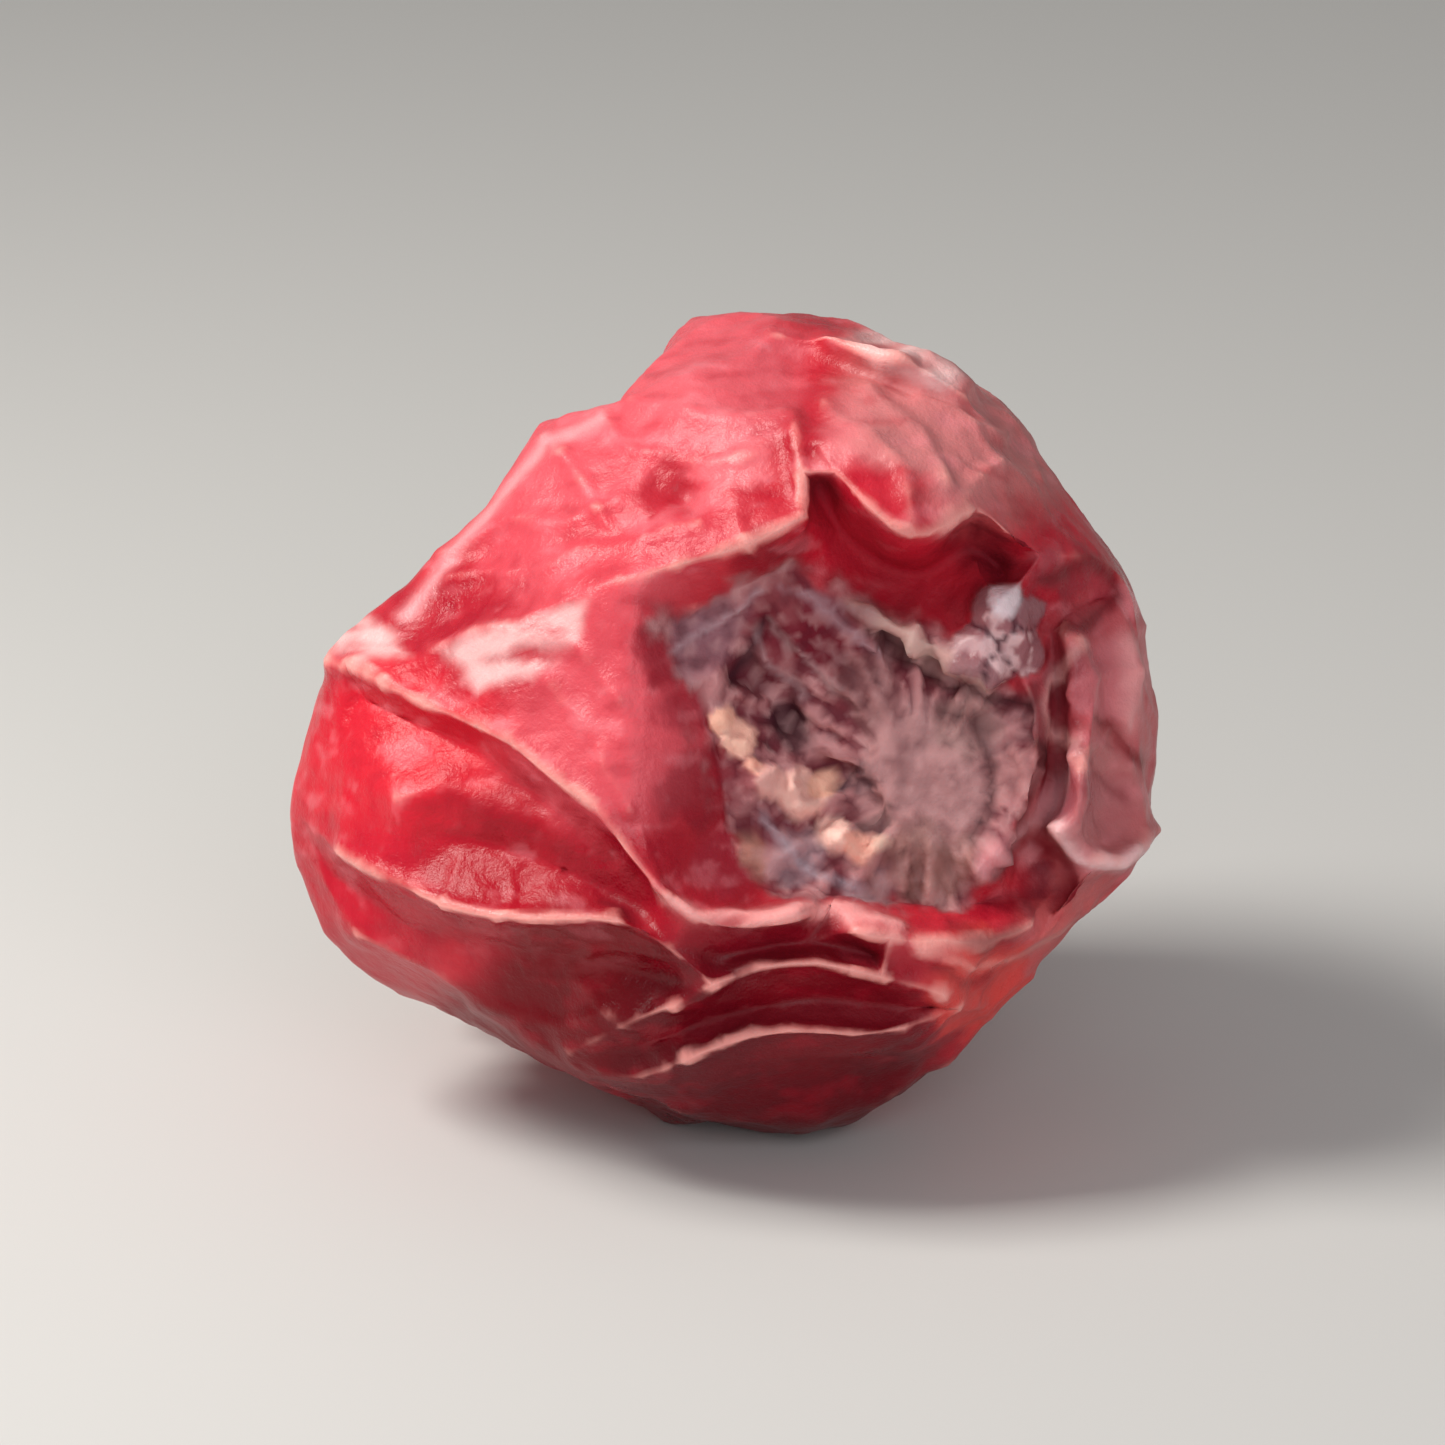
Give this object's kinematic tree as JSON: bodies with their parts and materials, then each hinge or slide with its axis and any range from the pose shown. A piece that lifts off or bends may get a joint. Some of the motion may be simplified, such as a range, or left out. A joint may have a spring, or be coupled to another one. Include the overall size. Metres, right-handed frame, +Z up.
{
  "type": "dried cranberry",
  "caption": "Dried cranberry: a small crumpled red berry with folded papery skin, a sunken calyx scar in front and a stem scar behind, lying on a small flat spot.",
  "frame": {"origin": "bottom centre of the berry's box, on the surface it lies on", "axes": "+Z up; +X to the right along the longest side; the calyx end faces -Y and looks 20 degrees up"},
  "size_m": [0.0106, 0.0092, 0.0098],
  "materials": {
    "dried_skin": "dry crumpled fruit skin with a dull gloss, pale along its ridges and grey-brown in the calyx"
  },
  "bodies": {
    "root": {"cranberry": "dried_skin"}
  },
  "joints": []
}
